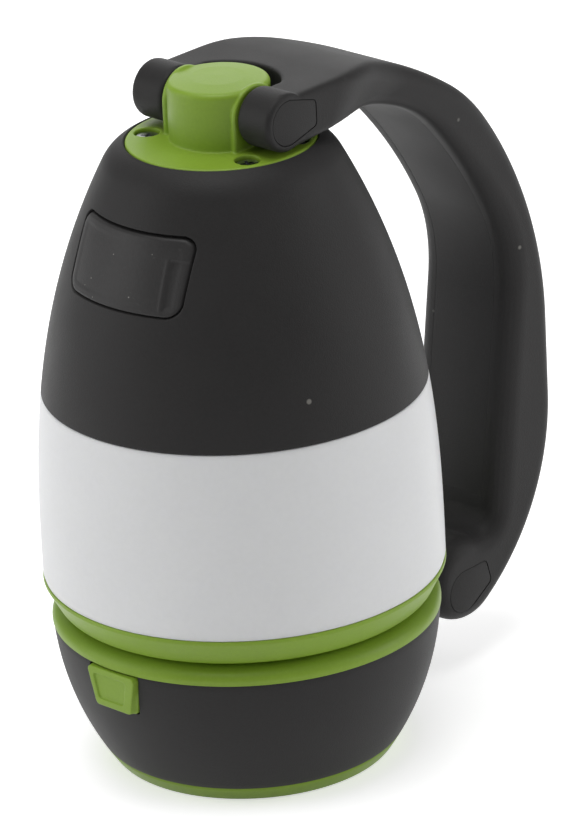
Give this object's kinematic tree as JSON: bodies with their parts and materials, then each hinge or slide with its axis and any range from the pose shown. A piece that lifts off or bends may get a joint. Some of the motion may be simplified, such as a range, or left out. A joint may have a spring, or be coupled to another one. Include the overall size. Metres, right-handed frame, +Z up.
{
  "type": "camping lantern",
  "caption": "Pear-shaped camping lantern on a round base, with a bow handle hinged to both, so that it opens into a desk lamp, and a spot light under its head.",
  "frame": {"origin": "on the body's axis, on the underside of the foot that the lantern stands on", "axes": "+Z up along the body's axis, -Y towards the latch and the port flap, +Y towards the handle"},
  "size_m": [0.1052, 0.1588, 0.1854],
  "materials": {
    "dark_plastic": "fine spark-eroded satin",
    "green_plastic": "satin",
    "rubber": "matt",
    "diffuser": "milky, translucent",
    "white_plastic": "satin",
    "steel": "zinc plated",
    "chrome": "mirror",
    "clear": "polished",
    "circuit": "solder mask",
    "led": "phosphor",
    "cell_wrap": "shrink sleeve"
  },
  "bodies": {
    "base": {"base_foot": "green_plastic", "foot_pad": "rubber", "base_bowl": "dark_plastic", "base_tray": "green_plastic", "ballast_plate": "steel", "base_screws": "steel", "latch_spring": "steel"},
    "latch": {"latch_button": "green_plastic"},
    "handle": {"handle_shell": "dark_plastic", "handle_cover": "dark_plastic", "upper_cap_left": "dark_plastic", "upper_cap_right": "dark_plastic", "lower_cap_left": "dark_plastic", "lower_cap_right": "dark_plastic", "upper_pivot_screws": "steel", "upper_washers": "steel", "lower_pivot_pin": "steel"},
    "head": {"head_shell": "dark_plastic", "top_plate": "green_plastic", "plate_screws": "steel", "diffuser": "diffuser", "diffuser_seals": "rubber", "lower_bezel": "green_plastic", "bezel_screws": "steel", "core_frame": "white_plastic", "spot_lens": "clear", "spot_reflector": "chrome", "spot_board": "circuit", "spot_led": "led", "lantern_board": "circuit", "lantern_leds": "led", "light_reflector": "white_plastic", "battery_cell": "cell_wrap", "battery_contacts": "steel", "battery_cap": "white_plastic", "control_board": "circuit", "usb_a_port": "steel", "micro_usb_port": "steel", "switch_board": "circuit", "switch_body": "dark_plastic"},
    "flap": {"port_flap": "rubber"},
    "power_button": {"power_button": "rubber"}
  },
  "joints": [
    {"name": "base_hinge", "type": "hinge", "parent": "base", "child": "handle", "pos_m": [0, 0.0668, 0.0225], "axis": [-1, 0, 0], "range_deg": [0, 45]},
    {"name": "head_tilt", "type": "hinge", "parent": "handle", "child": "head", "pos_m": [0, 0, 0.1772], "axis": [-1, 0, 0], "range_deg": [0, 45]},
    {"name": "latch_press", "type": "slide", "parent": "base", "child": "latch", "axis": [0, 1, 0], "range_m": [0, 0.0015], "stiffness_N_per_m": 800},
    {"name": "flap_open", "type": "hinge", "parent": "head", "child": "flap", "pos_m": [-0.0196, -0.03777, 0.1354], "axis": [0, -0.4107, -0.9118], "range_deg": [0, 100]},
    {"name": "power_press", "type": "slide", "parent": "head", "child": "power_button", "axis": [0, -0.923, -0.3847], "range_m": [0, 0.0008], "stiffness_N_per_m": 1200}
  ],
  "couplings": [
    {"joint": "head_tilt", "follows": "base_hinge", "ratio": 1}
  ]
}
